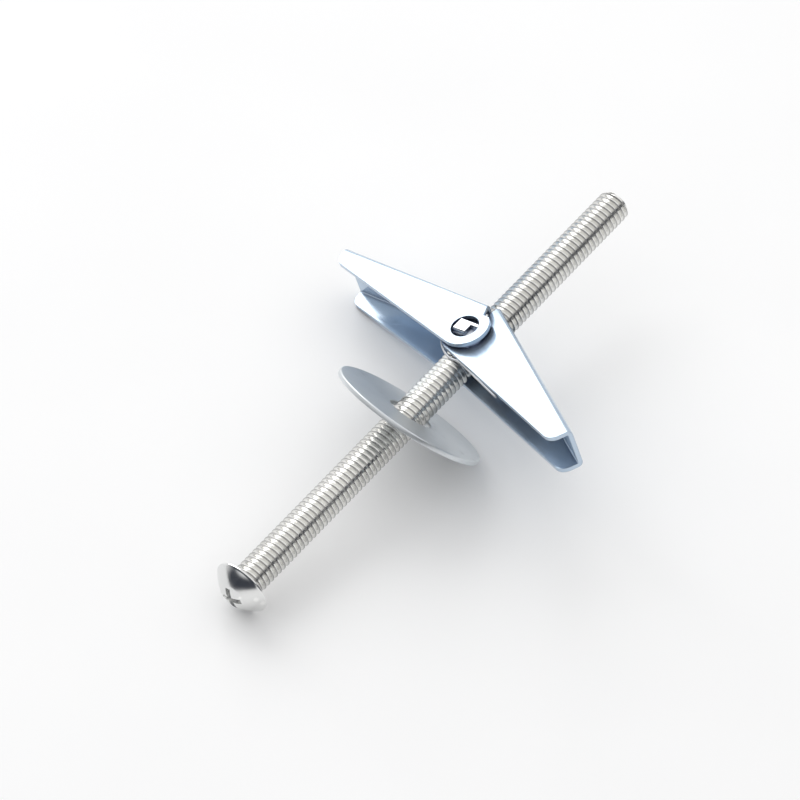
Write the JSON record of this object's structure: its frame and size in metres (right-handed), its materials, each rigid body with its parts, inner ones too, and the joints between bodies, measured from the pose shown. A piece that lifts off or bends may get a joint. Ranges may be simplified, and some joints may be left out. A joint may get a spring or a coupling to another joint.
{
  "type": "wall anchor",
  "caption": "Spring toggle wall anchor: long machine screw with domed cross-recess head, large loose washer and a sprung nut with folding channel wings.",
  "frame": {"origin": "centre of the screw head's underside, on the screw's axis", "axes": "+X along the screw from head to end, +Z along the pivot axis of the wings towards the near lug, +Y towards the outer wing"},
  "size_m": [0.1032, 0.0657, 0.0238],
  "materials": {
    "machine_screw": "bright zinc plated steel",
    "washer": "satin zinc plated steel",
    "trunnion_nut": "zinc plated pressed steel",
    "wing_outer": "bright blue-white zinc plated sheet",
    "wing_inner": "bright blue-white zinc plated sheet",
    "torsion_spring": "zinc plated spring wire"
  },
  "bodies": {
    "screw": {"machine_screw": "machine_screw"},
    "washer": {"washer": "washer"},
    "nut": {"trunnion_nut": "trunnion_nut", "torsion_spring": "torsion_spring"},
    "wing_outer": {"wing_outer": "wing_outer"},
    "wing_inner": {"wing_inner": "wing_inner"}
  },
  "joints": [
    {"name": "nut_travel", "type": "slide", "parent": "screw", "child": "nut", "axis": [1, 0, 0], "range_m": [-0.004, 0.03]},
    {"name": "wing_outer_fold", "type": "hinge", "parent": "nut", "child": "wing_outer", "pos_m": [0.0609, 0, 0], "axis": [0, 0, 1], "range_deg": [0, 90], "stiffness_Nm_per_rad": 0.02, "springref_deg": -40.11, "deforming": ["torsion_spring"]},
    {"name": "wing_inner_fold", "type": "hinge", "parent": "nut", "child": "wing_inner", "pos_m": [0.0609, 0, 0], "axis": [0, 0, 1], "range_deg": [-60.2, 0]},
    {"name": "washer_slide", "type": "slide", "parent": "screw", "child": "washer", "axis": [1, 0, 0], "range_m": [-0.0325, 0]}
  ],
  "couplings": [
    {"joint": "wing_inner_fold", "follows": "wing_outer_fold", "ratio": -0.6667},
    {"joint": "washer_slide", "follows": "wing_outer_fold", "m_per_rad": -0.0206}
  ]
}
